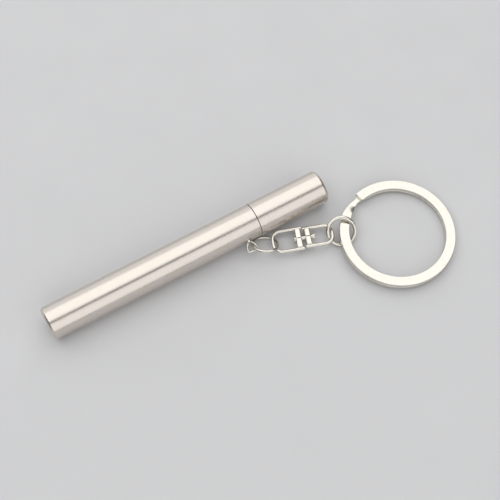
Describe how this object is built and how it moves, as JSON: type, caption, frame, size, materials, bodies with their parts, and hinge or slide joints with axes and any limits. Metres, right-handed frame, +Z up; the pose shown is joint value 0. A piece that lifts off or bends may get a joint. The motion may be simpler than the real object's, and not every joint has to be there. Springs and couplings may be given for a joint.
{
  "type": "keychain flashlight",
  "caption": "Slim round steel pocket light with a twist head, a side eye, a short swivel chain and a flat split ring for keys.",
  "frame": {"origin": "middle of the bottom of the whole object's box, on the surface it lies on", "axes": "+X along the tube from its closed tail to its light end, +Z up from the surface, the chain and split ring lie on the -Y side of the tube"},
  "size_m": [0.1114, 0.0424, 0.0096],
  "materials": {
    "tube_steel": "satin brushed round the tube",
    "chain_nickel": "polished nickel plate",
    "contact_brass": "plain",
    "neck_brass": "turned",
    "spring_steel": "drawn wire",
    "cell_steel": "nickel-plated",
    "cell_jacket": "plain shrink film, no lettering",
    "seal_rubber": "greased",
    "circuit_board": "solder mask",
    "chip_black": "moulded",
    "sink_aluminium": "turned",
    "led_phosphor": "phosphor",
    "clear_dome": "clear silicone",
    "reflector_mirror": "vacuum-plated",
    "lens_glass": "clear"
  },
  "bodies": {
    "barrel": {"barrel": "tube_steel", "barrel_eye": "chain_nickel", "spring_plate": "contact_brass", "tail_spring": "spring_steel"},
    "cell": {"cell_can": "cell_steel", "cell_jacket": "cell_jacket", "cell_cap": "cell_steel"},
    "neck": {"neck_bush": "neck_brass", "barrel_seal": "seal_rubber", "head_seal": "seal_rubber"},
    "head": {"head_shell": "tube_steel", "heat_sink": "sink_aluminium", "driver_board": "circuit_board", "inductor": "chip_black", "converter_chip": "chip_black", "contact_spring": "spring_steel", "led_board": "circuit_board", "led_emitter": "led_phosphor", "led_dome": "clear_dome", "reflector": "reflector_mirror", "lens": "lens_glass"},
    "small_ring": {"jump_ring_small": "chain_nickel"},
    "yoke_a": {"swivel_yoke_a": "chain_nickel", "swivel_rivet": "chain_nickel"},
    "yoke_b": {"swivel_yoke_b": "chain_nickel"},
    "large_ring": {"jump_ring_large": "chain_nickel"},
    "split_ring": {"split_ring": "chain_nickel"}
  },
  "joints": [
    {"name": "head_pull_off", "type": "slide", "parent": "barrel", "child": "neck", "axis": [1, 0, 0], "range_m": [0, 0.04]},
    {"name": "cell_slide", "type": "slide", "parent": "barrel", "child": "cell", "axis": [1, 0, 0], "range_m": [0, 0.024]},
    {"name": "head_twist", "type": "hinge", "parent": "neck", "child": "head", "pos_m": [0.00667, 0.01643, 0.0048], "axis": [1, 0, 0], "range_deg": [-90, 0]},
    {"name": "small_ring_swing", "type": "hinge", "parent": "barrel", "child": "small_ring", "pos_m": [0.00293, 0.00995, 0.00329], "axis": [0, 0.507, -0.862], "range_deg": [0, 90]},
    {"name": "swivel_fold", "type": "hinge", "parent": "small_ring", "child": "yoke_a", "pos_m": [0.00945, 0.0087, 0.00249], "axis": [-0.3923, -0.7166, 0.5767], "range_deg": [-50, 20]},
    {"name": "swivel_turn", "type": "hinge", "parent": "yoke_a", "child": "yoke_b", "pos_m": [0.01634, 0.00607, 0.00223], "axis": [0.9437, -0.3305, 0.017], "continuous": true},
    {"name": "large_ring_swing", "type": "hinge", "parent": "yoke_b", "child": "large_ring", "pos_m": [0.02411, 0.00322, 0.00233], "axis": [-0.4507, -0.7766, 0.4401], "range_deg": [-60, 45]},
    {"name": "split_ring_turn", "type": "hinge", "parent": "large_ring", "child": "split_ring", "pos_m": [0.03969, -0.00522, 0.00184], "axis": [0.0476, -0.0074, 0.9988], "continuous": true}
  ],
  "couplings": [
    {"joint": "cell_slide", "follows": "head_pull_off", "ratio": 0.6}
  ]
}
